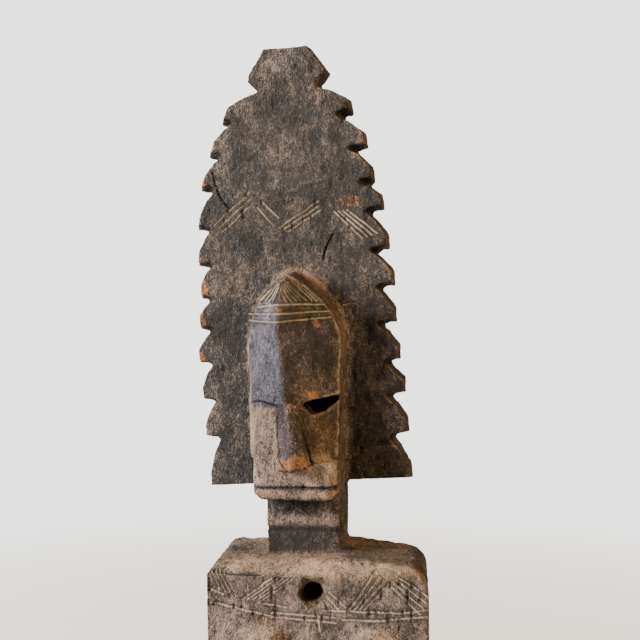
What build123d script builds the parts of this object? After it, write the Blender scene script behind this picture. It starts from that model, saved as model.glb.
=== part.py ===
from build123d import *
from math import cos, radians, sin
import os

# Wooden door lock carved as a standing figure, with its crossbar, iron tumblers and key.
# Millimetres, +Z up. The figure faces -Y and +X is to the viewer's right.
# The origin is the centre of the upper nail hole, on the back face that lies against the door.

os.makedirs("parts", exist_ok=True)

# torso, the case of the lock
torso_width = 111.0
torso_depth = 56.0
torso_offset = 2.0  # centre line of the torso, right of the upper nail hole
shoulder_height = 13.0  # of the left shoulder above the upper nail hole
right_shoulder_rise = 3.0  # beside the neck, above the left shoulder
right_shoulder_drop = 2.5  # at the corner, below the left shoulder
feet_drop = 260.0  # underside of the feet below the upper nail hole
left_shoulder_round = 7.0
right_shoulder_round = 11.0
shoulder_bevel_height = 4.5
shoulder_bevel_depth = 9.0

# nail holes
nail_hole_diameter = 8.6
nail_funnel_diameter = 13.0
nail_funnel_depth = 5.0
lower_nail_rise = 48.0  # above the underside of the feet
# slanting chase above the upper one, cut from the front
chase_left = -5.0
chase_right = 8.4
chase_top = 9.0
chase_foot = 3.0
chase_depth = 5.0

# breasts
breast_spacing = 57.0
breast_drop = 31.5
breast_radius = 18.0
breast_rise = 12.0

# legs
leg_gap_width = 30.0
leg_gap_top_width = 16.0
leg_gap_height = 34.0

# neck
neck_left = -29.0
neck_right = 14.3
neck_depth = 34.5
neck_side_slope = 2.8  # how much narrower each side is at the front
neck_step_height = 27.6  # underside of the upper block
neck_groove_height = 2.2
neck_groove_depth = 3.0
neck_foot_set_back = 0.8  # of the lower block, behind the upper one
neck_foot_shift = 1.5  # of the lower block's foot, to the right

# crest, in its own leaning frame: its foot is on the centre line of the neck
crest_foot_x = -6.0
crest_foot_z = 47.0
crest_lean = 3.4  # degrees, towards the viewer's left
crest_thickness = 12.0
crest_draft = 2.2  # how far the back outline stands outside the front one
crest_height = 238.0
crest_top_half = 12.0
crest_block_half = 21.5
crest_block_height = 224.0
crest_block_foot_half = 14.5
crest_block_foot_height = 215.5
tooth_tip_height = 6.0  # blunt end of a tooth
left_tip_set_back = 3.4  # upper corner of the top tooth's blunt end, behind the lower one
right_tip_set_back = 0.8
tooth_root_drop = 1.4  # root of the notch below the tooth's lower corner
tooth_bulge = 1.1  # of the upper edge, which is cut in two facets
left_tooth_depth = 9.0
right_tooth_depth = 10.5
# (reach from the crest's centre line, height) of each tooth's lower corner, from the top down;
# the last are the crest's own feet
left_teeth = [
    (37.0, 202.0), (45.3, 184.0), (51.3, 165.5), (54.3, 144.0), (55.3, 123.6), (54.8, 105.0),
    (56.4, 88.2), (57.9, 69.2), (56.9, 48.4), (56.7, 27.7), (55.5, 0.0),
]
right_teeth = [
    (33.3, 201.4), (40.4, 182.2), (43.3, 163.3), (47.2, 147.8), (49.0, 126.2), (50.9, 105.8),
    (50.7, 85.9), (51.5, 65.2), (53.3, 46.9), (53.7, 25.1), (54.0, 0.0),
]

# head, in front of the crest
head_foot_z = 43.0
head_apex_x = -17.0
head_apex_z = 166.0
head_left = -41.0
head_right = 16.0
head_spring_z = 108.0  # where the sides start to curve in to the apex
head_shoulder_left = (-36.5, 145.0)
head_shoulder_right = (7.5, 148.0)
head_draft = 9.0  # degrees, of the head's sides
head_overlap = 12.0  # how far the forehead's outline runs on below the brow before it is cut
brow_z = 92.0
right_brow_rise = 5.0  # of the right brow's outer end
ridge_x = -17.5
ridge_depth = 46.0
face_edge_left = -38.0
face_edge_right = 12.0
face_edge_depth = 28.0
left_cheek_recess = 0.5
right_cheek_recess = 4.0
eye_recess = 9.0  # of the right cheek beside the nose, under the brow
eye_slot_floor = 21.0  # depth of the slot's floor, in front of the back face
eye_slot_foot = (-2.6, 85.7)
eye_slot_middle = (4.4, 88.2)
eye_slot_end = (10.4, 93.4)
cheek_foot_inset = 1.5  # how much narrower the face is at the mouth
muzzle_ledge = 0.6  # top of the muzzle, in front of the cheeks
muzzle_side = 1.5  # its left side widens this much towards the back
right_cheek_depth = 33.0
mouth_top_z = 63.0
mouth_line_z = 50.0
mouth_depth = 45.5
mouth_left = -32.0
mouth_right = 12.0
mouth_corner = 6.0  # bevel at each side of the mouth
mouth_groove = 1.4
mouth_groove_above = 2.2
mouth_groove_below = 0.6
lip_corner = 4.0
nose_left = -19.5
nose_top_left_depth = 45.2
nose_top_ridge = (-14.2, 48.5)
nose_top_right = (-9.5, 45.0)
nose_tip_left_depth = 46.5
nose_tip_ridge = (-9.5, 56.0)
nose_tip_right = (-2.4, 52.0)
nose_tip_z = 59.0
nose_tip_round = 3.0

# crossbar and the channel that it slides in, open to the door
bolt_height = 45.0
bolt_depth = 34.0
bolt_clearance = 0.5
bolt_land = 1.5  # of the crossbar's top, between the last tumbler and the first hole when it is open
bolt_end_length = 66.0
bolt_end_rise = 6.0  # how far the end blocks stand above and below the channel's part
bolt_end_round = 5.0
channel_drop = 118.0  # top of the channel below the upper nail hole

# iron tumblers: pins with hammered heads, in a well behind the belly
tumbler_count = 4
tumbler_pitch = 11.0
tumbler_diameter = 5.5
tumbler_head_diameter = 9.0
tumbler_head_height = 7.0
tumbler_point = 1.0  # bevel at the pin's foot
tumbler_setback = 13.0  # axis of the tumblers, in front of the back face
tumbler_hole_clearance = 0.35
tumbler_rest_gap = 0.3
tumbler_tip_short = 1.0  # a dropped tumbler stops this far above the keyway
ledge_thickness = 13.0  # wood between the well and the channel
tumbler_lift = 15.0  # up from rest, on the crossbar's top
well_headroom = 2.7  # above a lifted tumbler
well_side_room = 3.0  # beside the outer tumblers
well_front_room = 2.0  # in front of the tumblers

# cover board over the well, let in flush, with four small tacks
cover_thickness = 5.0
cover_margin = 5.0
cover_gap = 0.3
tack_diameter = 1.8
tack_head_diameter = 5.0
tack_head_thickness = 0.9
tack_length = 12.0
tack_inset = 2.6

# keyway: a trough in the back of the crossbar, under its top board
top_board_thickness = 12.0
keyway_front_room = 2.0  # in front of the key's bar
keyway_margin = 10.0  # trough beyond the innermost tumbler hole

# key: a flat iron bar with a riveted prong for each tumbler, lying on the keyway's floor
key_bar_height = 5.0
key_bar_width = 12.0
key_handle_length = 42.0
key_floor_gap = 0.4
key_lift_gap = 0.6
key_prong_diameter = 4.4
key_eye_diameter = 6.5
key_end_round = 5.5

# derived heights and places
neck_foot_z = shoulder_height - shoulder_bevel_height
torso_left = torso_offset - torso_width / 2
torso_right = torso_offset + torso_width / 2
breast_sphere = (breast_radius**2 + breast_rise**2) / (2 * breast_rise)
bolt_top = -channel_drop - bolt_clearance
bolt_bottom = bolt_top - bolt_height
bolt_middle = (bolt_top + bolt_bottom) / 2
channel_depth = bolt_depth + bolt_clearance
bolt_half_travel = (tumbler_count - 1) * tumbler_pitch + tumbler_diameter + bolt_land
bolt_waist = torso_width + 2 * bolt_half_travel + 2 * bolt_clearance
bolt_length = bolt_waist + 2 * bolt_end_length
ledge_top = -channel_drop + ledge_thickness
tumbler_drop = top_board_thickness - tumbler_tip_short
tumbler_tip = bolt_top + tumbler_rest_gap
tumbler_head_bottom = ledge_top + tumbler_drop + tumbler_rest_gap
well_height = tumbler_head_bottom - ledge_top + tumbler_head_height + tumbler_lift + well_headroom
well_width = (tumbler_count - 1) * tumbler_pitch + tumbler_head_diameter + 2 * well_side_room
well_depth = tumbler_setback + tumbler_head_diameter / 2 + well_front_room
well_middle = ledge_top + well_height / 2
cover_width = well_width + 2 * cover_margin
cover_height = well_height + 2 * cover_margin
tumbler_hole_radius = tumbler_diameter / 2 + tumbler_hole_clearance
tumbler_xs = [torso_offset + (i - (tumbler_count - 1) / 2) * tumbler_pitch for i in range(tumbler_count)]
bolt_hole_xs = [x + bolt_half_travel for x in tumbler_xs]
keyway_height = key_floor_gap + key_bar_height + top_board_thickness + key_lift_gap
keyway_top = bolt_top - top_board_thickness
keyway_depth = tumbler_setback + key_bar_width / 2 + keyway_front_room
keyway_floor = keyway_top - keyway_height
keyway_start = bolt_hole_xs[0] - keyway_margin
bolt_right_end = torso_offset + bolt_length / 2
key_bar_start = keyway_start + key_lift_gap
key_bar_end = bolt_right_end + key_handle_length
key_bar_middle = keyway_floor + key_floor_gap + key_bar_height / 2


def crest_plane(depth):
    lean = radians(crest_lean)
    origin = (crest_foot_x, -depth, crest_foot_z)
    return Plane(origin=origin, x_dir=(cos(lean), 0, sin(lean)), z_dir=(0, -1, 0))


def toothed_edge(side, teeth, tooth_depth, top_set_back):
    # the blunt ends of the teeth lean less the lower they are
    edge = [Vector(crest_top_half, crest_height), Vector(crest_block_half, crest_block_height)]
    root = Vector(crest_block_foot_half, crest_block_foot_height)
    for reach, height in teeth:
        set_back = top_set_back * max(2 * height / teeth[0][1] - 1, 0)
        tip = Vector(reach - set_back, height + tooth_tip_height)
        outward = (tip - root).rotate(Axis.Z, 90).normalized()
        edge += [root, (root + tip) / 2 + outward * tooth_bulge, tip, Vector(reach, height)]
        root = Vector(reach - tooth_depth, height - tooth_root_drop)
    return [(side * point.X, point.Y) for point in edge]


def crest_outline():
    left = toothed_edge(-1, left_teeth, left_tooth_depth, left_tip_set_back)
    right = toothed_edge(1, right_teeth, right_tooth_depth, right_tip_set_back)
    return left + right[::-1]


def section(height, points):
    # closed section of the head or neck at one height, from (x, depth in front of the back face)
    with BuildSketch(Plane.XY.offset(height)) as cut:
        Polygon(*[(x, -depth) for x, depth in points], align=None)
    return cut.sketch


# the case: crest, head, neck, torso and legs are one piece of wood
with BuildPart() as crest_board:
    with BuildSketch(crest_plane(crest_thickness)):
        Polygon(*crest_outline(), align=None)
    with BuildSketch(crest_plane(0)):
        Polygon(*crest_outline(), align=None)
        offset(amount=crest_draft, kind=Kind.INTERSECTION)
    loft(ruled=True)

with BuildPart() as forehead:
    with BuildSketch(Plane.XZ):
        with BuildLine():
            Polyline(
                (head_left, head_spring_z), (head_left, brow_z - head_overlap),
                (head_right, brow_z - head_overlap), (head_right, head_spring_z),
            )
            ThreePointArc((head_right, head_spring_z), head_shoulder_right, (head_apex_x, head_apex_z))
            ThreePointArc((head_apex_x, head_apex_z), head_shoulder_left, (head_left, head_spring_z))
        make_face()
    extrude(amount=ridge_depth + crest_thickness, taper=head_draft)
    add(section(brow_z, [
        (head_left - crest_draft, 0), (face_edge_left, face_edge_depth), (ridge_x, ridge_depth),
        (face_edge_right, face_edge_depth), (head_right + crest_draft, 0),
    ]))
    extrude(amount=head_apex_z - brow_z, mode=Mode.INTERSECT)
    # the right brow rises to its outer end
    with BuildSketch(Plane.XZ.offset(crest_thickness)):
        Polygon(*[
            (nose_top_right[0], brow_z), (head_right, brow_z), (head_right, brow_z + right_brow_rise),
        ], align=None)
    extrude(amount=ridge_depth, mode=Mode.SUBTRACT)

with BuildPart() as lower_face:
    add(section(brow_z + right_brow_rise, [
        (head_left + crest_draft, 0),
        (face_edge_left + left_cheek_recess, face_edge_depth - left_cheek_recess),
        ((face_edge_left + ridge_x) / 2, (face_edge_depth + ridge_depth) / 2 - left_cheek_recess),
        (ridge_x, ridge_depth - left_cheek_recess), (nose_top_right[0], ridge_depth - eye_recess),
        (face_edge_right - left_cheek_recess, face_edge_depth - right_cheek_recess),
        (head_right - crest_draft, 0),
    ]))
    add(section(mouth_top_z, [
        (head_left + crest_draft, 0), (face_edge_left + cheek_foot_inset, face_edge_depth),
        (mouth_left, mouth_depth - mouth_corner / 2 - muzzle_ledge),
        (mouth_left + mouth_corner, mouth_depth - muzzle_ledge),
        (nose_tip_right[0], mouth_depth - muzzle_ledge),
        (face_edge_right - muzzle_ledge, right_cheek_depth), (head_right - crest_draft, 0),
    ]))
    loft(ruled=True)
    # deep slot of the right eye
    with BuildSketch(Plane.XZ.offset(eye_slot_floor)):
        Polygon(*[
            (nose_top_right[0], brow_z), eye_slot_foot, eye_slot_middle, eye_slot_end,
            (face_edge_right, brow_z + right_brow_rise),
        ], align=None)
    extrude(amount=ridge_depth - eye_slot_floor, mode=Mode.SUBTRACT)

with BuildPart() as mouth_block:
    add(section(head_foot_z, [
        (mouth_left - muzzle_side, 0), (mouth_left - muzzle_side, face_edge_depth),
        (mouth_left, mouth_depth - mouth_corner / 2), (mouth_left + mouth_corner, mouth_depth),
        (mouth_right - mouth_corner, mouth_depth), (mouth_right, mouth_depth - mouth_corner / 2),
        (mouth_right + muzzle_ledge, face_edge_depth), (head_right - crest_draft, 0),
    ]))
    extrude(amount=mouth_top_z - head_foot_z)
    foot_edges = mouth_block.edges().group_by(Axis.Z)[0].sort_by(Axis.Y)[:3]
    chamfer(foot_edges, length=mouth_groove)
    with BuildSketch(Plane.YZ.offset(mouth_left)):
        Polygon(*[
            (-mouth_depth - mouth_groove, mouth_line_z + mouth_groove_above),
            (-mouth_depth + mouth_groove, mouth_line_z),
            (-mouth_depth - mouth_groove, mouth_line_z - mouth_groove_below),
        ], align=None)
    extrude(amount=mouth_right - mouth_left, mode=Mode.SUBTRACT)
    # rounded ends of the lower lip
    with BuildSketch(Plane.XZ.offset(face_edge_depth)):
        for side, x in ((-1, mouth_left), (1, mouth_right)):
            Polygon(*[
                (x - side * lip_corner, head_foot_z), (x + side * lip_corner, head_foot_z),
                (x + side * lip_corner, head_foot_z + 2 * lip_corner),
            ], align=None)
    extrude(amount=mouth_depth - face_edge_depth, mode=Mode.SUBTRACT)

with BuildPart() as nose:
    add(section(brow_z, [
        (nose_left, ridge_depth - eye_recess), (nose_left, nose_top_left_depth),
        nose_top_ridge, nose_top_right,
        (nose_top_right[0], ridge_depth - eye_recess),
    ]))
    add(section(nose_tip_z, [
        (nose_left, ridge_depth - eye_recess), (nose_left, nose_tip_left_depth),
        nose_tip_ridge, nose_tip_right,
        (nose_tip_right[0], ridge_depth - eye_recess),
    ]))
    loft(ruled=True)
    tip_edges = nose.edges().group_by(Axis.Z)[0].sort_by(Axis.Y)[0]
    fillet(tip_edges, radius=nose_tip_round)

with BuildPart() as neck:
    upper_block = [
        (neck_left, 0), (neck_left + neck_side_slope, neck_depth),
        (neck_right - neck_side_slope, neck_depth), (neck_right, 0),
    ]
    add(section(neck_step_height, upper_block))
    extrude(amount=head_foot_z + crest_thickness / 2 - neck_step_height)
    # the lower block stands back a little and leans
    lower_block_top = neck_step_height - neck_groove_height
    lower_depth = neck_depth - neck_foot_set_back
    add(section(lower_block_top, [
        (neck_left, 0), (neck_left + neck_side_slope, lower_depth),
        (neck_right - neck_side_slope, lower_depth), (neck_right, 0),
    ]))
    add(section(neck_foot_z, [
        (neck_left, 0), (neck_left + neck_side_slope + neck_foot_shift, lower_depth),
        (neck_right - neck_side_slope + neck_foot_shift, lower_depth), (neck_right, 0),
    ]))
    loft(ruled=True)
    # core behind the groove
    add(section(lower_block_top, [
        (neck_left, 0), (neck_left + neck_side_slope, neck_depth - neck_groove_depth),
        (neck_right - neck_side_slope, neck_depth - neck_groove_depth), (neck_right, 0),
    ]))
    extrude(amount=neck_groove_height)

with BuildPart() as carved_case:
    # torso plank with the gap between its legs, and the worn front edge of the shoulders
    with BuildSketch(Plane.XZ):
        Polygon(*[
            (torso_left, -feet_drop), (torso_left, shoulder_height), (neck_left, shoulder_height),
            (neck_right, shoulder_height + right_shoulder_rise),
            (torso_right, shoulder_height - right_shoulder_drop), (torso_right, -feet_drop),
        ], align=None)
        fillet(vertices().sort_by(Axis.X)[:2].sort_by(Axis.Y)[-1], radius=left_shoulder_round)
        fillet(vertices().sort_by(Axis.X)[-2:].sort_by(Axis.Y)[-1], radius=right_shoulder_round)
        Polygon(*[
            (torso_offset - leg_gap_width / 2, -feet_drop), (torso_offset + leg_gap_width / 2, -feet_drop),
            (torso_offset + leg_gap_top_width / 2, leg_gap_height - feet_drop),
            (torso_offset - leg_gap_top_width / 2, leg_gap_height - feet_drop),
        ], align=None, mode=Mode.SUBTRACT)
    extrude(amount=torso_depth)
    with BuildSketch(Plane.YZ.offset(torso_left)):
        Polygon(*[
            (-torso_depth, shoulder_height + right_shoulder_rise),
            (-torso_depth + shoulder_bevel_depth, shoulder_height + right_shoulder_rise),
            (-torso_depth + shoulder_bevel_depth, shoulder_height),
            (-torso_depth, shoulder_height - shoulder_bevel_height),
        ], align=None)
    extrude(amount=torso_width, mode=Mode.SUBTRACT)
    breast_y = breast_sphere - breast_rise - torso_depth
    with Locations((torso_offset - breast_spacing / 2, breast_y, -breast_drop)):
        Sphere(breast_sphere)
    with Locations((torso_offset + breast_spacing / 2, breast_y, -breast_drop)):
        Sphere(breast_sphere)
    # figure above the shoulders
    add(neck.part)
    add(crest_board.part)
    add(mouth_block.part)
    add(lower_face.part)
    add(forehead.part)
    add(nose.part)
    # nail holes, right through
    with BuildSketch(Plane.XZ):
        with Locations((0, 0), (0, lower_nail_rise - feet_drop)):
            Circle(nail_hole_diameter / 2)
    extrude(amount=torso_depth, mode=Mode.SUBTRACT)
    with Locations(Plane.XZ.offset(torso_depth - nail_funnel_depth / 2)):
        Cone(nail_hole_diameter / 2, nail_funnel_diameter / 2, nail_funnel_depth, mode=Mode.SUBTRACT)
    with BuildSketch(Plane.YZ.offset(chase_left)):
        Polygon(*[
            (-torso_depth, chase_top), (-torso_depth + chase_depth, chase_foot), (-torso_depth, chase_foot),
        ], align=None)
    extrude(amount=chase_right - chase_left, mode=Mode.SUBTRACT)
    # channel for the crossbar, open to the door
    with Locations((torso_offset, 0, bolt_middle)):
        Box(torso_width, 2 * channel_depth, bolt_height + 2 * bolt_clearance, mode=Mode.SUBTRACT)
    # tumbler well, with the rebate for its cover and the holes down to the channel
    with Locations((torso_offset, 0, well_middle)):
        Box(well_width, 2 * well_depth, well_height, mode=Mode.SUBTRACT)
        Box(cover_width, 2 * cover_thickness, cover_height, mode=Mode.SUBTRACT)
    with BuildSketch(Plane.XY.offset(ledge_top)):
        with Locations(*[(x, -tumbler_setback) for x in tumbler_xs]):
            Circle(tumbler_hole_radius)
    extrude(amount=-ledge_thickness, mode=Mode.SUBTRACT)

tack_reach = cover_width / 2 - tack_inset
tack_rise = cover_height / 2 - tack_inset
tack_places = [
    (torso_offset + side * tack_reach, well_middle + end * tack_rise) for side in (-1, 1) for end in (-1, 1)
]

with BuildPart() as cover_tacks:
    with BuildSketch(Plane.XZ):
        with Locations(*tack_places):
            Circle(tack_head_diameter / 2)
    extrude(amount=tack_head_thickness)
    with BuildSketch(Plane.XZ):
        with Locations(*tack_places):
            Circle(tack_diameter / 2)
    extrude(amount=tack_length)

with BuildPart() as well_cover:
    with Locations((torso_offset, -cover_thickness / 2, well_middle)):
        Box(cover_width - 2 * cover_gap, cover_thickness, cover_height - 2 * cover_gap)
    add(cover_tacks.part, mode=Mode.SUBTRACT)

with BuildPart(mode=Mode.PRIVATE) as case_with_tack_holes:
    add(carved_case.part)
    add(cover_tacks.part, mode=Mode.SUBTRACT)

# crossbar: its end blocks are taller than the channel and stop against the case
with BuildPart() as crossbar:
    with Locations((torso_offset, -bolt_clearance - bolt_depth / 2, bolt_middle)):
        Box(bolt_waist, bolt_depth, bolt_height)
    for side in (-1, 1):
        end_middle = torso_offset + side * (bolt_waist + bolt_end_length) / 2
        with BuildSketch(Plane.XZ.offset(bolt_clearance)):
            with Locations((end_middle, bolt_middle)):
                RectangleRounded(bolt_end_length, bolt_height + 2 * bolt_end_rise, bolt_end_round)
        extrude(amount=bolt_depth)
    # keyway, from past the innermost tumbler hole out of the right-hand end
    with BuildSketch(Plane.XZ):
        with Locations(((keyway_start + bolt_right_end) / 2, (keyway_floor + keyway_top) / 2)):
            Rectangle(bolt_right_end - keyway_start, keyway_height)
    extrude(amount=keyway_depth, mode=Mode.SUBTRACT)
    with BuildSketch(Plane.XY.offset(bolt_top)):
        with Locations(*[(x, -tumbler_setback) for x in bolt_hole_xs]):
            Circle(tumbler_hole_radius)
    extrude(amount=-top_board_thickness, mode=Mode.SUBTRACT)

# key
with BuildPart() as key_prongs:
    with BuildSketch(Plane.XY.offset(key_bar_middle - key_bar_height / 2)):
        with Locations(*[(x, -tumbler_setback) for x in bolt_hole_xs]):
            Circle(key_prong_diameter / 2)
    extrude(amount=key_bar_height + top_board_thickness)

with BuildPart() as key_bar:
    with BuildSketch(Plane.XY.offset(key_bar_middle - key_bar_height / 2)):
        with Locations(((key_bar_start + key_bar_end) / 2, -tumbler_setback)):
            Rectangle(key_bar_end - key_bar_start, key_bar_width)
        fillet(vertices().group_by(Axis.X)[-1], radius=key_end_round)
        with Locations((key_bar_end - key_bar_width / 2, -tumbler_setback)):
            Circle(key_eye_diameter / 2, mode=Mode.SUBTRACT)
    extrude(amount=key_bar_height)
    add(key_prongs.part, mode=Mode.SUBTRACT)

for number, x in enumerate(tumbler_xs, 1):
    with BuildPart() as tumbler:
        with BuildSketch(Plane.XY.offset(tumbler_tip)):
            with Locations((x, -tumbler_setback)):
                Circle(tumbler_diameter / 2)
        extrude(amount=tumbler_head_bottom - tumbler_tip)
        chamfer(tumbler.edges().group_by(Axis.Z)[0], length=tumbler_point)
        with BuildSketch(Plane.XY.offset(tumbler_head_bottom)):
            with Locations((x, -tumbler_setback)):
                Circle(tumbler_head_diameter / 2)
        extrude(amount=tumbler_head_height)
        chamfer(tumbler.edges().group_by(Axis.Z)[-1], length=tumbler_point)
    tumbler.part.label = f"tumbler_{number}"
    export_step(tumbler.part, f"parts/tumbler_{number}.step")

case_with_tack_holes.part.label = "carved_case"
well_cover.part.label = "well_cover"
cover_tacks.part.label = "cover_tacks"
crossbar.part.label = "crossbar"
key_bar.part.label = "key_bar"
key_prongs.part.label = "key_prongs"
export_step(case_with_tack_holes.part, "parts/carved_case.step")
export_step(well_cover.part, "parts/well_cover.step")
export_step(cover_tacks.part, "parts/cover_tacks.step")
export_step(crossbar.part, "parts/crossbar.step")
export_step(key_bar.part, "parts/key_bar.step")
export_step(key_prongs.part, "parts/key_prongs.step")
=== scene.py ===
import math
import bpy
import bmesh
import numpy as np
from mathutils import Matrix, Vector


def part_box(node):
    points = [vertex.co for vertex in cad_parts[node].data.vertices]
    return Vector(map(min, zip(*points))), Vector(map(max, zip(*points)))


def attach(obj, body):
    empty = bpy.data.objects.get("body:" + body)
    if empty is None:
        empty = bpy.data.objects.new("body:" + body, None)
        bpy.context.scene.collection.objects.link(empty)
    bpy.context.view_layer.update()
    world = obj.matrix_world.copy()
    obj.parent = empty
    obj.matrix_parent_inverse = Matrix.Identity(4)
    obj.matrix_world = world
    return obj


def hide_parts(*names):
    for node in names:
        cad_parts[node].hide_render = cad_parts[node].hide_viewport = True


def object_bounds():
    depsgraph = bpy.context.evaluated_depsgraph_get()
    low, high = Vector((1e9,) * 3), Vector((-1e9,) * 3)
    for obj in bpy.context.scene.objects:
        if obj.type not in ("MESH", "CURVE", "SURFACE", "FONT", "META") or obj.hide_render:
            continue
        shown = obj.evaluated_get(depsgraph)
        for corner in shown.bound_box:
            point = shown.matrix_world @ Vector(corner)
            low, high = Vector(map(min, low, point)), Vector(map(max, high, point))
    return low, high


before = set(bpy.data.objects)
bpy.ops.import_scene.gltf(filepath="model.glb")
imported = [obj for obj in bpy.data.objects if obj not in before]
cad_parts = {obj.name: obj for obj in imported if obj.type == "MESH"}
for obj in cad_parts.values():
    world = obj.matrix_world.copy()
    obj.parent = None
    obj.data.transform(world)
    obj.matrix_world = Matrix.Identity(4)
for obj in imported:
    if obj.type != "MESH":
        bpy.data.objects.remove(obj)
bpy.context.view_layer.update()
mm = 0.001

# Camera
shot = {
    "eye": (47.7, -472.3, 135.1),  # mm
    "turn": 6.0,  # degrees to the left
    "lens": 47.8,
    "sensor": 36.0,
}


def placeCamera(spec):
    lens = bpy.data.cameras.new("camera")
    lens.lens = spec["lens"]
    lens.sensor_width = spec["sensor"]
    lens.clip_start = 0.01
    camera = bpy.data.objects.new("camera", lens)
    camera.location = Vector(spec["eye"]) * mm
    camera.rotation_euler = (math.radians(90), 0, math.radians(spec["turn"]))
    bpy.context.scene.collection.objects.link(camera)
    bpy.context.scene.camera = camera


placeCamera(shot)
print("camera placed")


# Shader wiring
class Wire:  # an output socket; arithmetic on it adds Math nodes
    def __init__(self, paint, socket):
        self.paint = paint
        self.socket = socket

    def __add__(self, other):
        return self.paint.maths("ADD", self, other)

    __radd__ = __add__

    def __sub__(self, other):
        return self.paint.maths("SUBTRACT", self, other)

    def __rsub__(self, other):
        return self.paint.maths("SUBTRACT", other, self)

    def __mul__(self, other):
        return self.paint.maths("MULTIPLY", self, other)

    __rmul__ = __mul__


class Paint:  # a material while it is being wired
    def __init__(self, name):
        self.material = bpy.data.materials.new(name)
        self.material.use_nodes = True
        self.tree = self.material.node_tree
        self.shader = self.tree.nodes["Principled BSDF"]

    def node(self, kind, settings=None, inputs=None, out=0):
        made = self.tree.nodes.new(kind)
        for key, value in (settings or {}).items():
            if key == "stops":
                self.setStops(made.color_ramp, value)
            else:
                setattr(made, key, value)
        for key, value in (inputs or {}).items():
            self.feed(made.inputs[key], value)
        return Wire(self, made.outputs[out])

    def feed(self, socket, value):
        if isinstance(value, Wire):
            self.tree.links.new(value.socket, socket)
        else:
            socket.default_value = value

    def setStops(self, ramp, stops):
        while len(ramp.elements) < len(stops):
            ramp.elements.new(0.5)
        for element, (place, shade) in zip(ramp.elements, stops):
            element.position = place
            element.color = rgba(shade)

    def maths(self, operation, first, second):
        return self.node("ShaderNodeMath", {"operation": operation}, {0: first, 1: second})

    def between(self, value, low, high):  # 0 below low, 1 above high
        return self.node("ShaderNodeMapRange", {"clamp": True}, {0: value, 1: low, 2: high})

    def mix(self, factor, first, second):
        made = self.node("ShaderNodeMix", {"data_type": "RGBA"}, {0: factor}, out=2)
        self.feed(made.socket.node.inputs[6], first)
        self.feed(made.socket.node.inputs[7], second)
        return made

    def ramp(self, value, stops):
        return self.node("ShaderNodeValToRGB", {"stops": stops}, {0: value})

    def noise(self, perMetre, detail=3.0, rough=0.55, stretch=(1, 1, 1), warp=0.0):
        where = self.node("ShaderNodeTexCoord", out=3)
        placed = self.node("ShaderNodeVectorMath", {"operation": "MULTIPLY"}, {0: where, 1: stretch})
        values = {"Vector": placed, "Scale": perMetre, "Detail": detail, "Roughness": rough, "Distortion": warp}
        return self.node("ShaderNodeTexNoise", {}, values)

    def mark(self, name):
        return self.node("ShaderNodeAttribute", {"attribute_name": name}, out=2)

    def bump(self, height, strength, depth):
        values = {"Height": height, "Strength": strength, "Distance": depth}
        return self.node("ShaderNodeBump", {}, values)

    def set(self, name, value):
        self.feed(self.shader.inputs[name], value)


def rgba(hexCode):
    parts = [int(hexCode[i:i + 2], 16) / 255 for i in (0, 2, 4)]
    return (*[p / 12.92 if p <= 0.04045 else ((p + 0.055) / 1.055) ** 2.4 for p in parts], 1.0)


# Carving tools: they work on arrays of points in millimetres
lattice = np.random.default_rng(7).random((32, 32, 32))


def lumps(points, size, shift=0.0):  # smooth noise from -1 to 1, with lumps of that size
    spot = points / np.array(size, float) + shift
    cell = np.floor(spot).astype(int)
    part = spot - cell
    part = part * part * (3 - 2 * part)
    total = np.zeros(len(points))
    for corner in np.ndindex(2, 2, 2):
        weight = np.prod(np.where(np.array(corner) == 1, part, 1 - part), axis=1)
        i, j, k = ((cell + corner) % 32).T
        total += weight * lattice[i, j, k]
    return total * 2 - 1


def step(low, high, value):  # smooth step from 0 at low to 1 at high
    t = np.clip((value - low) / (high - low), 0, 1)
    return t * t * (3 - 2 * t)


def within(value, low, high):
    return (value > low) & (value < high)


def bell(value, middle, width):
    return np.exp(-(((value - middle) / width) ** 2))


def toLines(flat, lines):  # distance from each point to the nearest of many straight strokes
    nearest = np.full(len(flat), 99.0)
    for x0, z0, x1, z1 in lines:
        start = np.array([x0, z0])
        run = np.array([x1 - x0, z1 - z0])
        along = np.clip((flat - start) @ run / (run @ run), 0, 1)
        gap = flat - start - along[:, None] * run
        nearest = np.minimum(nearest, np.hypot(gap[:, 0], gap[:, 1]))
    return nearest


def bundle(first, last, count):  # evenly spaced strokes from the first to the last
    return [tuple(np.array(first) + (np.array(last) - first) * i / (count - 1)) for i in range(count)]


def chain(*stops):  # one bent stroke
    return [(*a, *b) for a, b in zip(stops, stops[1:])]


def readPoints(mesh):
    points = np.empty(len(mesh.vertices) * 3)
    mesh.vertices.foreach_get("co", points)
    normals = np.empty(len(mesh.vertices) * 3)
    mesh.vertices.foreach_get("normal", normals)
    return points.reshape(-1, 3) / mm, normals.reshape(-1, 3)


def writePoints(mesh, points):
    mesh.vertices.foreach_set("co", (points * mm).ravel())
    mesh.update()


def averager(mesh):  # gives a function that averages each point's values over its neighbours
    ends = np.empty(len(mesh.edges) * 2, int)
    mesh.edges.foreach_get("vertices", ends)
    near, far = np.concatenate([ends.reshape(-1, 2), ends.reshape(-1, 2)[:, ::-1]]).T
    count = np.bincount(near, minlength=len(mesh.vertices))[:, None]

    def average(values):
        sums = [np.bincount(near, column[far], len(values)) for column in values.T]
        return np.stack(sums, axis=1) / count

    return average


def soften(mesh, rounds, weight=1.0):
    average = averager(mesh)
    points, _ = readPoints(mesh)
    for _ in range(rounds):
        points += 0.5 * np.reshape(weight, (-1, 1)) * (average(points) - points)
    writePoints(mesh, points)


def standing(mesh, rounds):  # how far each point stands out of its surroundings, in mm
    average = averager(mesh)
    points, normals = readPoints(mesh)
    spread = points
    for _ in range(rounds):
        spread = average(spread)
    return np.einsum("ij,ij->i", points - spread, normals)


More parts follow.
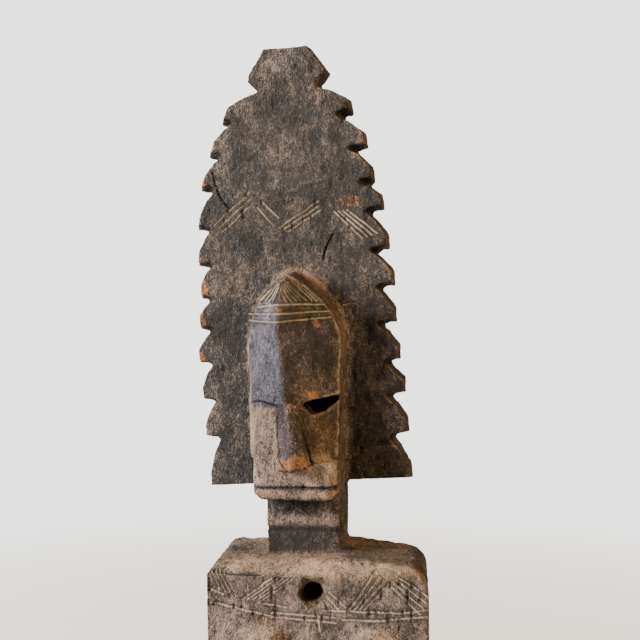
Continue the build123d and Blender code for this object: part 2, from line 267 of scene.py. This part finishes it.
def saveMark(mesh, name, values):
    layer = mesh.attributes.get(name) or mesh.attributes.new(name, "FLOAT", "POINT")
    layer.data.foreach_set("value", np.clip(values, 0, 1).astype(np.float32))


def readMark(mesh, name):
    values = np.empty(len(mesh.vertices), np.float32)
    mesh.attributes[name].data.foreach_get("value", values)
    return values


def settle(piece):  # applies the piece's modifiers
    graph = bpy.context.evaluated_depsgraph_get()
    mesh = bpy.data.meshes.new_from_object(piece.evaluated_get(graph))
    piece.modifiers.clear()
    old = piece.data
    piece.data = mesh
    bpy.data.meshes.remove(old)


def blank(name, node, voxel):  # an evenly meshed copy of a CAD node, to be carved
    piece = bpy.data.objects.new(name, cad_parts[node].data.copy())
    bpy.context.scene.collection.objects.link(piece)
    remesh = piece.modifiers.new("remesh", "REMESH")
    remesh.mode = "VOXEL"
    remesh.voxel_size = voxel * mm
    settle(piece)
    rise = standing(piece.data, 4)
    saveMark(piece.data, "edgeMark", step(0.12 * voxel, 0.55 * voxel, rise))
    saveMark(piece.data, "hollowMark", step(0.12 * voxel, 0.55 * voxel, -rise))
    return piece


def refine(mesh, close):  # splits the edges whose ends are both close to a stroke
    work = bmesh.new()
    work.from_mesh(mesh)
    edges = [e for e in work.edges if close[e.verts[0].index] and close[e.verts[1].index]]
    bmesh.ops.subdivide_edges(work, edges=edges, cuts=1, use_grid_fill=True)
    bmesh.ops.triangulate(work, faces=[f for f in work.faces if len(f.verts) > 4])
    work.to_mesh(mesh)
    work.free()


def thin(piece, faces, keep):  # fewer faces, most of them taken where keep is low
    total = sum(len(p.vertices) - 2 for p in piece.data.polygons)
    if total <= faces:
        return
    group = piece.vertex_groups.new(name="spare")
    levels = np.round((1 - keep) * 10).astype(int)
    for level in range(1, 11):
        group.add(np.flatnonzero(levels == level).tolist(), level / 10, "REPLACE")
    modifier = piece.modifiers.new("thin", "DECIMATE")
    modifier.ratio = faces / total
    modifier.vertex_group = "spare"
    modifier.vertex_group_factor = 1.0
    settle(piece)
    piece.vertex_groups.clear()


def finishPiece(piece, body, node, material):
    piece.data.materials.clear()
    piece.data.materials.append(material)
    piece.data.polygons.foreach_set("use_smooth", [True] * len(piece.data.polygons))
    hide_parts(node)
    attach(piece, body)


# The figure, which is the case of the lock
figure = {
    "voxel": 1.0,  # mm
    "faces": 195000,
    "strokeWidth": 0.3,
    "strokeDepth": 0.8,
    "crackDepth": 0.8,
    "wobble": 0.3,
    "handDepth": 0.5,  # of the hollows that the adze left
    "crustDepth": 0.6,
    "pitDepth": 0.7,
    "ridgeX": -17.5,  # of the ridge down the brow
    "ridgeShift": ((88, 2.0), (97, 2.0), (130, -2.0), (146, -1.0), (160, 3.0), (170, 3.0)),  # height, sideways
    "ridgeReach": 19,  # how far to each side the bend of the ridge dies out
    "headSides": (-48, 26),
    "headTop": 175,
    "noseEdge": ((59, 92), (-2.4, -9.5)),  # heights, and where its right edge is at them
}

# strokes of the knife: x, z at one end, x, z at the other
crestStrokes = (
    bundle((-60, 187, -39.3, 206), (-55, 183.6, -38, 199), 3)
    + bundle((-33.2, 200.3, -23.8, 191), (-35.4, 196.5, -26.5, 186.5), 2)
    + bundle((-23.2, 186, -1.8, 200), (-18.2, 183.7, -0.7, 195), 3)
    + bundle((14, 195, 30.3, 182), (7, 193.8, 22.2, 179.5), 4)
    + [(-41, 138.3, -36, 138), (-40, 134.8, -36, 134.6), (12, 143.6, 18, 144)]
)
headStrokes = (
    bundle((-18.5, 159, -31.5, 146), (-18.8, 151.5, -22.5, 144), 5)
    + bundle((-17.3, 150.5, -14.6, 144.2), (-15.8, 155.5, -5, 145.2), 5)
    + bundle((-14.2, 158, -2, 145.2), (-7.6, 157, 7.2, 144.4), 5)
    + chain((-31.5, 141.9), (-19, 142.7), (5.1, 143.4))
    + chain((-36, 138.3), (-19.5, 138.1), (7.6, 139.8))
    + chain((-36, 134.6), (-19.5, 134), (7.6, 136.6))
)
chestStrokes = (
    bundle((-50.7, 9.3, -46.7, 0.4), (-45.2, 9.9, -38.6, -2.8), 4)
    + bundle((-35.5, -4.2, -20.4, 7.2), (-24.5, -3.3, -9.9, 7.1), 5)
    + bundle((7.9, 1.3, 18.8, -8.2), (5.9, -3.2, 8.4, -8.1), 3)
    + bundle((18.3, -7.2, 30, 10.3), (25.6, -7, 37.8, 6.6), 4)
    + bundle((42.7, 9.2, 56.7, 0), (37.4, 5.7, 52.9, -8.4), 4)
    + chain((-52.8, 1.2), (-44.6, -2))
    + chain((-52.3, -5.8), (-38.6, -8.3), (-18.9, -12))
    + chain((-24.5, -5.8), (-12.9, -7.4))
    + chain((-20.9, -10.1), (11.9, -11.4))
    + chain((-20.9, -12.1), (11.9, -13.9))
    + chain((3, -7.8), (18.8, -8.2), (42.7, -8.3), (56.7, -6.3))
    + chain((14.8, -12.3), (35.4, -12), (57.7, -9.2))
    + chain((1.5, -6.8), (4.5, -21.5))
)
cracks = (
    chain((-60.6, 216.7), (-58.9, 209.5), (-56.7, 204), (-53.9, 199.5), (-51, 196.7))
    + chain((6.4, 181.8), (4.3, 178), (2.1, 173.2), (1, 168.8))
    + chain((-36, 91.8), (-29.6, 92.9), (-23.5, 91.9), (-19.2, 91.3))
    + chain((-50, 9.5), (-38, 8.6), (-26, 8.4))
    + chain((-29.5, 49.6), (-14, 50.2), (4, 50), (11.5, 50.4))
    + chain((-19.4, 89.5), (-19.2, 76), (-18.6, 64), (-14, 59.2), (-6, 58.6), (-1.6, 62))
    + chain((-8.5, 86), (-5.2, 75), (-1.4, 63))
)
bands = {  # two more bands of strokes, above and below the crossbar
    "edges": ((-95, -112), (-172, -190)),
    "half": 55,  # half the length of a band
    "double": 2.2,  # between the two lines of an edge
    "tooth": 18,  # width of one bundle
    "slant": 9,
    "spread": 6,
    "strokes": 4,
}

bareSpots = (  # bare wood: x, y, z, radius and strength
    (-56, -12, 249, 3, 0.5), (-62.5, -12, 230, 3, 0.6), (-62, -12, 228, 3, 0.8), (-67, -12, 210, 3, 0.95),
    (-68.5, -12, 187.5, 2, 0.6), (-68.5, -12, 167.5, 2.6, 0.9), (-67.2, -12, 150, 3.6, 1.2),
    (-67.5, -12, 154, 3.8, 1.2), (-67.8, -12, 133, 3.6, 1.2), (-68, -12, 137, 3.6, 1.2), (-67.5, -12, 113, 2.8, 0.9),
    (41, -10, 155.5, 3, 1), (-7.5, -56, 62, 7.4, 1.3), (-13, -53, 60.5, 5.2, 1.3), (-13.5, -45, 91, 3, 0.5),
    (-1.5, -36, 95.5, 2.6, 0.7),
    (-12, -46, 88, 2.6, 0.75), (0.8, -36, 132.5, 2.2, 0.6), (-1, -38, 123.8, 2.2, 0.5), (-15, -41, 150, 2.4, 0.8),
    (-18.5, -44, 139, 2.8, 0.6), (-5, -38, 137, 3.4, 0.3), (35, -12, 139, 4, 0.2), (11, -12, 200.5, 3, 0.45),
    (17, -12, 200, 3.6, 0.5), (22, -12, 199, 2.6, 0.45), (-41, -12, 193, 4, 0.3), (1, -54, -5, 4, 0.35),
    (7, -55, -3, 3, 0.35), (-6.5, -55, 4, 3, 0.35),
)
polishAndHighlightSpots = (  # painted highlights where hands have polished it: x, y, z, radius and strength; the polish also lowers the roughness
    (-25, -41, 141, 4, 1.2), (-26, -40, 136, 3.5, 1), (-31, -41, 58, 2, 1.2), (-30.5, -43, 54, 1.8, 1),
    (-49, -50, 8, 3.5, 0.8), (-40, -52, 9, 3, 0.5), (-24, -40, 120, 3, 0.35), (5, -56, -6, 3, 0.25),
)
ochreSpots = (  # earth rubbed in: x, y, z, radius and strength
    (20, -11, 60, 15, 0.8), (20, -11, 88, 9, 0.7), (16, -8, 115, 7, 0.6), (36, -11, 58, 10, 0.6),
    (40, -30, 14, 16, 0.9), (50, -45, 9, 9, 0.9), (24, -10, 15, 12, 0.9), (15, -12, 35, 9, 0.9),
    (15, -12, 12, 9, 0.9), (-8, -56, -28, 9, 0.7), (6, -36, 75, 14, 0.9), (44, -56, -30, 9, 0.6),
)
print("strokes laid out")


def strokeGap(points, lines, where):  # distance to the nearest stroke, for the points picked out
    gap = np.full(len(points), 99.0)
    flat = points[where][:, [0, 2]].copy()
    for axis in (0, 1):
        flat[:, axis] += figure["wobble"] * lumps(points[where], 6, 11.5 * (axis + 1))
    gap[where] = toLines(flat, lines)
    return gap


def bandStrokes():
    low, high = (corner[0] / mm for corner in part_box("well_cover"))
    middle = (low + high) / 2
    half = bands["half"]
    count = int(half * 2 / bands["tooth"])
    lines = []
    for top, foot in bands["edges"]:
        inner = top - bands["double"]
        lines += [(middle - half, z, middle + half, z) for z in (top, inner, foot, foot - bands["double"])]
        for i in range(count):
            left = middle - half + (i + 0.1) * half * 2 / count
            ends = (foot, inner) if i % 2 else (inner, foot)
            first = (left, ends[0], left + bands["slant"], ends[1])
            last = (left + bands["spread"], ends[0], left + bands["spread"] + bands["slant"], ends[1])
            lines += bundle(first, last, bands["strokes"])
    return lines


def strokeGaps(points, normals):  # distances to the nearest cut and the nearest crack
    x, y, z = points.T
    front = normals[:, 1] < -0.25
    places = (
        (crestStrokes, front & (y > -14.5) & (z > 130)),
        (headStrokes, front & (y < -13) & within(z, 130, 165)),
        (chestStrokes, front & (y < -44) & within(z, -30, 14)),
        (bandStrokes(), front & (y < -50) & within(z, -195, -90)),
    )
    cut = np.full(len(points), 99.0)
    for lines, where in places:
        cut = np.minimum(cut, strokeGap(points, lines, where))
    return cut, strokeGap(points, cracks, front)


def spotted(points, spots, feather):  # 1 within the spots, with ragged rims
    ragged = 1 + 0.35 * lumps(points, 2.2, 5.1) + 0.25 * lumps(points, 5, 2.7)
    total = np.zeros(len(points))
    for *middle, radius, strength in spots:
        away = np.linalg.norm(points - middle, axis=1) / radius
        total = np.maximum(total, strength * (1 - step(1 - feather, 1 + feather, away * ragged)))
    return total


def shapeFigure(mesh):
    points, _ = readPoints(mesh)
    x, y, z = points.T
    # the head grows out of the crest, and the breasts out of the chest
    head = within(x, *figure["headSides"])
    headRim = bell(y, -13, 3.5) * within(z, 60, 173) * head
    breastRim = bell(y, -57, 1.6) * within(z, -60, -8)
    crown = step(150, 162, z) * (z < figure["headTop"]) * within(y, -27, -12.5) * head
    soften(mesh, 1)
    soften(mesh, 14, np.clip(headRim + breastRim + crown, 0, 1))
    points, _ = readPoints(mesh)
    x, y, z = points.T
    heights, shifts = zip(*figure["ridgeShift"])
    onRidge = np.clip(1 - np.abs(x - figure["ridgeX"]) / figure["ridgeReach"], 0, 1)
    onRidge *= (y < -16) * step(80, 92, z)
    points[:, 0] += onRidge * np.interp(z, heights, shifts)
    writePoints(mesh, points)


def carveFigure():
    piece = blank("carvedFigure", "carved_case", figure["voxel"])
    mesh = piece.data
    print("figure meshed in", len(mesh.polygons), "faces")
    shapeFigure(mesh)
    for reach in (1.5, 0.6):
        cut, crack = strokeGaps(*readPoints(mesh))
        refine(mesh, np.minimum(cut, crack) < reach)
    points, normals = readPoints(mesh)
    cut, crack = strokeGaps(points, normals)
    inside = (normals[:, 1] > 0.6) | (points[:, 2] < -100) & (points[:, 1] > -40)  # raw wood, not handled
    saveMark(mesh, "rawMark", inside * 1.0)
    pressure = 0.65 + 0.35 * lumps(points, 7, 4.2)
    depth = figure["handDepth"] * np.abs(lumps(points, (13, 13, 22))) * (1 - 0.6 * inside)
    depth += figure["crustDepth"] * np.abs(lumps(points, (3.2, 3.2, 5), 3.3))
    depth += figure["pitDepth"] * step(0.25, 0.75, lumps(points, (2.1, 2.1, 4.5), 7.7)) * (1 - 0.7 * inside)
    depth *= 1 - 0.85 * readMark(mesh, "edgeMark")
    depth += figure["strokeDepth"] * pressure * bell(cut, 0, figure["strokeWidth"])
    depth += figure["crackDepth"] * bell(crack, 0, 0.45)
    markFigure(mesh, points, normals, cut, crack)
    points -= normals * depth[:, None]
    writePoints(mesh, points)
    keep = np.where(inside, 0.1, 0.55)
    keep = np.maximum(keep, 1 - step(0.9, 1.8, np.minimum(cut, crack)))
    thin(piece, figure["faces"], keep)
    finishPiece(piece, "case", "carved_case", patina())
    print("figure carved in", len(piece.data.polygons), "faces")


dustAmount = {  # pale dust caught on the figure, by place
    "rim": 0.9,  # where the head meets the crest
    "halo": 0.6,  # round the crown
    "faceEdge": 0.9,
    "teeth": 0.8,
    "breasts": 1.1,
    "chest": 0.45,
    "shoulder": 0.7,
    "neckFoot": 0.6,
    "muzzle": 0.95,
    "cheek": 0.75,
    "lip": 0.95,
}


def markFigure(mesh, points, normals, cut, crack):
    amount = dustAmount
    x, y, z = points.T
    across, _, up = normals.T
    ragged = lumps(points, 4, 8.8)
    edge = readMark(mesh, "edgeMark")
    average = averager(mesh)
    facing = average(average(average(normals)))[:, 1]
    rimLine = bell(facing, -0.47, 0.12) * (y < -18) * within(z, 66, figure["headTop"]) * (1 - (z < 98) * (y < -36))
    scratched = bell(cut, 0, figure["strokeWidth"]) * (1.1 + 0.5 * lumps(points, 5, 9.4))
    saveMark(mesh, "cutMark", scratched + 0.7 * rimLine)
    # painted shade in the eye slot, in the groove round the neck and on the lower neck block
    slot = within(z, 84.5, 98) * within(x, -9.5, 12.5) * (-y < 35 - 0.62 * (x + 9.5)) * (y < -18)
    groove = within(z, 25.3, 27.7) * within(y, -35, -20) * (np.abs(x + 6.5) < 20.5)
    neckLower = within(z, 13.5, 25.5) * within(y, -36, -24)
    dark = slot + 0.9 * groove + 0.3 * neckLower
    # the cracks are real; 0.8 * bell(cut, 0.75, 0.28) is painted shade, a dark rim beside each knife stroke
    saveMark(mesh, "crackMark", bell(crack, 0, 0.5) + 0.8 * bell(cut, 0.75, 0.28) + dark)
    noseRight = np.interp(z, *figure["noseEdge"])
    bore = (np.hypot(x, z) < 7) * within(y, -55.5, -42) * (z < 1)
    nose = (y < -42) * within(z, 57, 92) * within(x, -19.2, noseRight + 0.5)
    lip = step(43.5, 45, z) * (1 - step(48, 49.5, z + 0.8 * ragged)) * (y < -40)
    saveMark(mesh, "bareMark", spotted(points, bareSpots, 0.3) + 0.4 * lip)
    saveMark(mesh, "shineMark", spotted(points, polishAndHighlightSpots, 0.7))
    # painted light: right-facing side walls painted golden, as if lit by the warm room lamp; the ochre spots and the
    # inside of the nail hole get the same film
    warmLitSideWall = 0.8 * step(0.5, 0.8, across) * (y < -14) * (z > 45)
    saveMark(mesh, "ochreMark", spotted(points, ochreSpots, 0.6) + bore + warmLitSideWall)
    # painted light: the left-facing facets of the face get a pale cool grey, as if lit by the cool window lamp; the
    # same mark also lowers their roughness
    leftFacing = step(0.12, 0.35, -across) * (y < -19) * within(z, 64, 144) * (1 - nose)
    saveMark(mesh, "greyMark", leftFacing * (0.9 + 0.3 * lumps(points, 9, 6.1)) * (1 - 0.55 * step(94, 88, z)))
    ridge = figure["ridgeX"] + np.interp(z, *zip(*figure["ridgeShift"]))
    strip = bell(x, ridge + 1, 1.6) * (y < -41) * within(z, 92, 146)
    saveMark(mesh, "noseMark", nose * step(0.05, 0.3, -across) + 0.35 * leftFacing * bell(z, 84, 7) + 0.8 * strip)
    rim = readMark(mesh, "hollowMark") * within(y, -20, -11) * (z > 60)
    halo = step(146, 160, z) * within(y, -24, -12.8) * (z < figure["headTop"])
    faceEdge = edge * within(y, -36, -20) * (z > 64) * (np.abs(x + 12) > 15)
    cheekEdge = bell(x, np.interp(z, (64, 92), (10.6, 11.4)), 0.7)
    faceEdge += cheekEdge * within(z, 64, 92) * (y < -20) * (across < 0.7)
    noseEdge = edge * nose * bell(x, noseRight, 2)
    teeth = edge * (y > -15) * (up > 0.1) * (across > 0) * (z > 60) * (0.7 + 0.5 * ragged)
    band = bell(z, 12, 4) * bell(y, -51, 6) * (0.25 + 0.75 * step(-31, -24, x)) * (1 - 0.6 * step(20, 60, x))
    breasts = step(57, 61, -y) * (z < -8)
    chest = amount["chest"] * (y < -45) * (z < 14) * (1 - 0.4 * step(0, 50, x))
    shoulder = amount["shoulder"] * step(0.4, 0.8, up) * within(z, 0, 17) * (1 - step(-20, 15, x)) * (y > -48)
    neckFoot = amount["neckFoot"] * bell(z, 31, 3) * (y < -30)
    muzzle = amount["muzzle"] * step(49, 52, z) * (1 - step(60, 70, z + 3 * ragged))
    muzzle *= (y < -36) * (x < noseRight + 14)
    cheek = amount["cheek"] * within(z, 60, 90) * (across < -0.1) * (y < -26) * (1 - nose)
    dust = amount["rim"] * rim + amount["halo"] * halo + amount["faceEdge"] * faceEdge + noseEdge
    dust = dust + amount["teeth"] * teeth + band + amount["breasts"] * breasts + chest
    dust = dust * (1 - bore) + shoulder + neckFoot + muzzle + cheek + amount["lip"] * lip
    saveMark(mesh, "dustMark", dust)
    # painted shade: the head's cast shadow on the lower right of the crest, the right-facing facets of the face, the
    # chase above the nail hole, the lower neck block and the undersides of the crest
    crestRight = 0.9 * step(12, 40, x) * (1 - step(130, 190, z)) * (z > 40) * (y > -20)
    faceRight = step(0.05, 0.3, across) * (y < -22) * within(z, 64, 160)
    chase = within(x, -5.5, 9) * within(z, 2, 9.5) * within(y, -55.4, -44)  # chipped out above the nail hole, and painted shade in its recess
    under = step(0.35, 0.7, -up) * (y > -15) * (z > 60)
    saveMark(mesh, "shadeMark", crestRight + 0.4 * faceRight + chase + neckLower + under)


figurePaint = {
    "warm": ("0b0805", "2a2119", "4a3f33", "8c7e6a"),
    "cool": ("0b0a0a", "2a2624", "48423e", "88807b"),
    "bare": ("5c3216", "bd8550"),
    "cut": "cab699",
    "dust": ("4a3d31", "c2a88d"),
    # pale blue-grey of the painted cool light on the left-facing facets
    "paintedCoolLight": ("37363f", "888794"),
    "nose": ("1c1719", "5a4d54"),
    # olive-gold of the rubbed-in ochre, also used for the painted warm light on right-facing walls
    "ochreAndWarmLight": ("150f07", "5e4a28"),
    # pale blue-white of the painted highlights
    "paintedHighlight": "c6c8d0",
    "raw": ("2a1e15", "6f5840"),
    # near-black of the cracks, also used for painted shade
    "crack": "050302",
    # near-black of the painted shade
    "shade": "0c0906",
    "places": (0.26, 0.46, 0.64, 0.9),  # of the four tones of warm and cool
    "contrast": {"mottle": 1.1, "crust": 0.8, "speck": 1.2, "grit": 1.1},
    "relief": {"crust": 1.3, "speck": 0.9, "grit": 0.25, "fissure": 0.4},
    "reliefDepth": 0.006,  # metres
}


def patina():
    paint = Paint("patina")
    tones = figurePaint
    mottle = paint.noise(70, 4, 0.6, (1, 1, 0.6))
    hue = paint.noise(110, 3, 0.6, (1, 1, 0.7), 0.5)
    crust = paint.noise(460, 4, 0.65, (1, 1, 0.65), 0.4)
    speck = paint.noise(1150, 3, 0.7)
    grit = paint.noise(2800, 2, 0.6)
    worm = paint.noise(230, 3, 0.6, (1, 1, 0.45), 0.9)
    thinLine = 1 - paint.between(paint.maths("ABSOLUTE", worm - 0.5, 0), 0.004, 0.022)
    fissure = thinLine * paint.between(hue, 0.46, 0.6)
    contrast = tones["contrast"]
    tone = 0.5 + (mottle - 0.5) * contrast["mottle"] + (crust - 0.5) * contrast["crust"]
    tone = tone + (speck - 0.5) * contrast["speck"] + (grit - 0.5) * contrast["grit"]
    warm = paint.ramp(tone, list(zip(tones["places"], tones["warm"])))
    cool = paint.ramp(tone, list(zip(tones["places"], tones["cool"])))
    body = paint.mix(paint.between(hue, 0.34, 0.6), warm, cool)

    def lay(body, mark, pair, low, high):  # a second colour over the crust, broken up by the grain
        film = paint.ramp(tone, [(0.2, pair[0]), (0.8, pair[1])])
        return paint.mix(paint.between(mark + tone * 0.8 - 0.4, low, high), body, film)

    # painted shade: a dark film over the crest's lower right, the right-facing facets, the chase, the lower neck and
    # the undersides
    body = lay(body, paint.mark("shadeMark") * 0.75, (tones["shade"], tones["warm"][1]), 0.1, 0.8)
    # ochre earth, plus painted warm light on the right-facing side walls
    body = lay(body, paint.mark("ochreMark"), tones["ochreAndWarmLight"], 0.15, 0.9)
    # painted light: pale cool grey on the left-facing facets of the face
    body = lay(body, paint.mark("greyMark"), tones["paintedCoolLight"], 0.1, 0.8)
    body = lay(body, paint.mark("noseMark"), tones["nose"], 0.1, 0.8)
    body = lay(body, paint.mark("dustMark"), tones["dust"], 0.05, 1.1)
    body = lay(body, paint.mark("edgeMark") * (mottle * 1.4 - 0.45), tones["bare"], 0.2, 0.9)
    body = lay(body, paint.mark("bareMark"), tones["bare"], 0.3, 0.75)
    grain = paint.noise(520, 3, 0.6, (1, 1, 0.05))
    film = paint.ramp(grain + (speck - 0.5) * 0.4, [(0.3, tones["raw"][0]), (0.72, tones["raw"][1])])
    body = paint.mix(paint.between(paint.mark("rawMark") + tone * 0.5 - 0.25, 0.1, 0.6), body, film)
    # painted highlight: pale blue-white mixed into the colour on the polished spots
    body = paint.mix(paint.mark("shineMark") * paint.between(tone, 0.3, 0.7) * 0.8, body, rgba(tones["paintedHighlight"]))
    body = paint.mix(fissure * 0.8, body, rgba(tones["crack"]))
    # near-black for the real cracks, and painted shade in the eye slot, the neck groove, the lower neck and beside
    # each stroke
    body = paint.mix(paint.mark("crackMark"), body, rgba(tones["crack"]))
    body = paint.mix(paint.mark("cutMark") * 0.85, body, rgba(tones["cut"]))
    paint.set("Base Color", body)
    paint.set("Specular IOR Level", 0.3)
    paint.set("Roughness", 0.8 - paint.mark("greyMark") * 0.36 - mottle * 0.3 - paint.mark("shineMark") * 0.2)
    relief = tones["relief"]
    height = crust * relief["crust"] + speck * relief["speck"] + grit * relief["grit"] - fissure * relief["fissure"]
    paint.set("Normal", paint.bump(height, 1.0, tones["reliefDepth"]))
    return paint.material


carveFigure()


# The crossbar, the cover and the iron: worn copies of their CAD nodes
crossbarLook = {
    "voxel": 1.1,  # mm, as is all below but rounds
    "rounds": 4,  # of softening
    "gap": 0.35,  # every face set back, so that the end blocks clear the case
    "lump": (45, 9, 9),  # size of the dents
    "dent": 0.7,
    "fine": (9, 2.5, 2.5),  # size of the pits
    "pit": 0.25,
}
coverLook = {
    "voxel": 0.6, "rounds": 2, "gap": 0,
    "lump": (30, 8, 8), "dent": 0.25, "fine": (12, 1.5, 1.5), "pit": 0.12,
}
tumblerLook = {
    "voxel": 0.4, "rounds": 3, "gap": 0,
    "lump": (3, 3, 3), "dent": 0.3, "fine": (1.2, 1.2, 1.2), "pit": 0.08,
}
tackLook = {
    "voxel": 0.25, "rounds": 3, "gap": 0,
    "lump": (1.8, 1.8, 1.8), "dent": 0.2, "fine": (0.8, 0.8, 0.8), "pit": 0.05,
}
keyLook = {
    "voxel": 0.5, "rounds": 3, "gap": 0,
    "lump": (14, 4, 4), "dent": 0.35, "fine": (1.5, 1.5, 1.5), "pit": 0.1,
}
cross = {  # cut on each end block of the crossbar
    "margin": 9,  # from the block's top and foot
    "inset": 14,
    "double": 3,  # between the two strokes of an arm
    "overshoot": 2,
    "sides": (4, 6),
    "depth": 1.0,
    "width": 0.7,
    "finer": 2.2,  # the mesh is finer this close to a stroke
}


def weather(name, node, body, material, look, lines=()):
    piece = blank(name, node, look["voxel"])
    mesh = piece.data
    soften(mesh, look["rounds"])
    points, normals = readPoints(mesh)
    if lines:
        refine(mesh, strokeGap(points, lines, normals[:, 1] < -0.5) < cross["finer"])
        points, normals = readPoints(mesh)
        gap = strokeGap(points, lines, normals[:, 1] < -0.5)
        points -= normals * (cross["depth"] * bell(gap, 0, cross["width"]))[:, None]
        saveMark(mesh, "cutMark", bell(gap, 0, 0.8))
    depth = look["gap"] + look["dent"] * np.abs(lumps(points, look["lump"], 1.7))
    depth += look["pit"] * step(0.1, 0.8, lumps(points, look["fine"], 5.9))
    writePoints(mesh, points - normals * depth[:, None])
    finishPiece(piece, body, node, material)


def crossLines():  # a cross of doubled strokes on each end block of the crossbar
    low, high = (np.array(corner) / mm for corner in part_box("crossbar"))
    half = (high[2] - low[2]) / 2 - cross["margin"]
    middle = (high[2] + low[2]) / 2
    top, foot = middle + half, middle - half
    left, right = cross["sides"]
    lines = []
    for x in (low[0] + half + cross["inset"], high[0] - half - cross["inset"]):
        for shift in (0, cross["double"]):
            near, far = x - half + shift, x + half + shift
            lines += [(near, top, far, foot), (near, foot, far, top)]
        for side in (x - half - left, x + half + right):
            lines.append((side, foot - cross["overshoot"], side, top + cross["overshoot"]))
    return lines


def timber(name, tones, stretch):  # plain wood, its grain along the axis whose stretch is low
    paint = Paint(name)
    grain = paint.noise(420, 4, 0.6, stretch, 0.2)
    pore = paint.noise(1900, 3, 0.6, stretch)
    mottle = paint.noise(60, 3, 0.6)
    tone = 0.5 + (grain - 0.5) * 1.2 + (pore - 0.5) * 1.1 + (mottle - 0.5) * 1.1
    body = paint.ramp(tone, [(0.25, tones["dark"]), (0.5, tones["middle"]), (0.78, tones["light"])])
    body = paint.mix(paint.between(paint.mark("edgeMark") * (mottle + 0.4), 0.3, 0.9), body, rgba(tones["edge"]))
    # painted shade: the hollows are darkened; the next line darkens the knife cuts as dirt
    body = paint.mix(paint.mark("hollowMark") * 0.7, body, rgba(tones["dirtAndShade"]))
    body = paint.mix(paint.mark("cutMark") * 0.75, body, rgba(tones["dirtAndShade"]))
    paint.set("Base Color", body)
    paint.set("Roughness", 0.72 - (mottle - 0.3) * 0.5)
    paint.set("Normal", paint.bump(grain * 0.7 + pore * 0.5, 0.8, 0.0012))
    return paint.material


# the darkest tone of each wood is dirt in the cuts and painted shade in the hollows
barWood = {"dark": "150e09", "middle": "3a2a1e", "light": "6e543d", "edge": "8a6a4b", "dirtAndShade": "0d0906"}
coverWood = {"dark": "2b1c11", "middle": "5f442c", "light": "94724c", "edge": "9f7d56", "dirtAndShade": "150e08"}
iron = {"scale": ("0c0b0b", "33302e"), "rust": ("3a1b0d", "7a3f1e"), "worn": "8a8580"}


def forgedIron():
    paint = Paint("forgedIron")
    patch = paint.noise(160, 4, 0.65)
    speck = paint.noise(1800, 3, 0.7)
    scale = paint.ramp(speck, [(0.3, iron["scale"][0]), (0.7, iron["scale"][1])])
    rust = paint.ramp(speck, [(0.3, iron["rust"][0]), (0.7, iron["rust"][1])])
    rusted = paint.between(patch + speck * 0.35, 0.6, 0.78)
    worn = paint.between(paint.mark("edgeMark") + speck * 0.5, 0.8, 1.2) * (1 - rusted)
    body = paint.mix(worn, paint.mix(rusted, scale, rust), rgba(iron["worn"]))
    paint.set("Base Color", body)
    paint.set("Metallic", 0.85 - rusted * 0.75)
    paint.set("Roughness", 0.45 + rusted * 0.35 + (speck - 0.5) * 0.3)
    paint.set("Normal", paint.bump(speck + patch, 0.7, 0.0006))
    return paint.material


barMaterial = timber("crossbarWood", barWood, (0.04, 1, 1))
weather("wornCrossbar", "crossbar", "crossbar", barMaterial, crossbarLook, crossLines())
coverMaterial = timber("coverWood", coverWood, (0.04, 1, 1))
weather("coverBoard", "well_cover", "case", coverMaterial, coverLook)
ironMaterial = forgedIron()
weather("coverTacks", "cover_tacks", "case", ironMaterial, tackLook)
for tumbler in [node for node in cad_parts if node.startswith("tumbler_")]:
    weather(tumbler + "_iron", tumbler, tumbler, ironMaterial, tumblerLook)
weather("keyBar", "key_bar", "key", ironMaterial, keyLook)
weather("keyProngs", "key_prongs", "key", ironMaterial, keyLook)
print("crossbar, cover and iron worn")


# Studio
studio = {
    "backdrop": "f1efec",
    "backdropLight": 3.1,
    "fill": 0.26,
    "floor": "dcdad6",
    "floorRadius": 3,  # metres
    "floorEdge": (0.4, 1.3),  # metres, where the floor fades into the backdrop
    "aim": (0, 0, 0.08),
    "lamps": (  # name, place in metres, size in metres, watts and colour
        ("coolWindow", (-1.4, -0.75, 0.7), 0.6, 158, "faf4f0"),
        ("warmRoom", (1.15, -0.1, 0.7), 0.5, 43, "ffd398"),
    ),
}


def layFloor():
    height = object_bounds()[0][2] - 0.5 * mm
    radius = studio["floorRadius"]
    bpy.ops.mesh.primitive_circle_add(vertices=96, radius=radius, fill_type="NGON", location=(0, 0, height))
    floor = bpy.context.object
    floor.name = "floor"
    paint = Paint("paleFloor")
    where = paint.node("ShaderNodeTexCoord", out=3)
    away = paint.node("ShaderNodeVectorMath", {"operation": "LENGTH"}, {0: where}, out=1)
    near, far = studio["floorEdge"]
    paint.set("Base Color", rgba(studio["floor"]))
    paint.set("Roughness", 0.8)
    paint.set("Alpha", 1 - paint.between(away, near, far))
    floor.data.materials.append(paint.material)


def lamp(name, place, size, power, shade):
    data = bpy.data.lights.new(name, "AREA")
    data.size = size
    data.energy = power
    data.color = rgba(shade)[:3]
    made = bpy.data.objects.new(name, data)
    made.location = place
    made.rotation_euler = (Vector(studio["aim"]) - Vector(place)).to_track_quat("-Z", "Y").to_euler()
    bpy.context.scene.collection.objects.link(made)


def lightStudio():
    world = bpy.data.worlds.new("studio")
    bpy.context.scene.world = world
    world.use_nodes = True
    tree = world.node_tree
    fill = tree.nodes["Background"]
    fill.inputs["Color"].default_value = rgba(studio["backdrop"])
    fill.inputs["Strength"].default_value = studio["fill"]
    seen = tree.nodes.new("ShaderNodeBackground")
    seen.inputs["Color"].default_value = rgba(studio["backdrop"])
    seen.inputs["Strength"].default_value = studio["backdropLight"]
    ray = tree.nodes.new("ShaderNodeLightPath")
    blend = tree.nodes.new("ShaderNodeMixShader")
    tree.links.new(ray.outputs["Is Camera Ray"], blend.inputs[0])
    tree.links.new(fill.outputs[0], blend.inputs[1])
    tree.links.new(seen.outputs[0], blend.inputs[2])
    tree.links.new(blend.outputs[0], tree.nodes["World Output"].inputs[0])
    for row in studio["lamps"]:
        lamp(*row)


layFloor()
lightStudio()
print("studio lit")
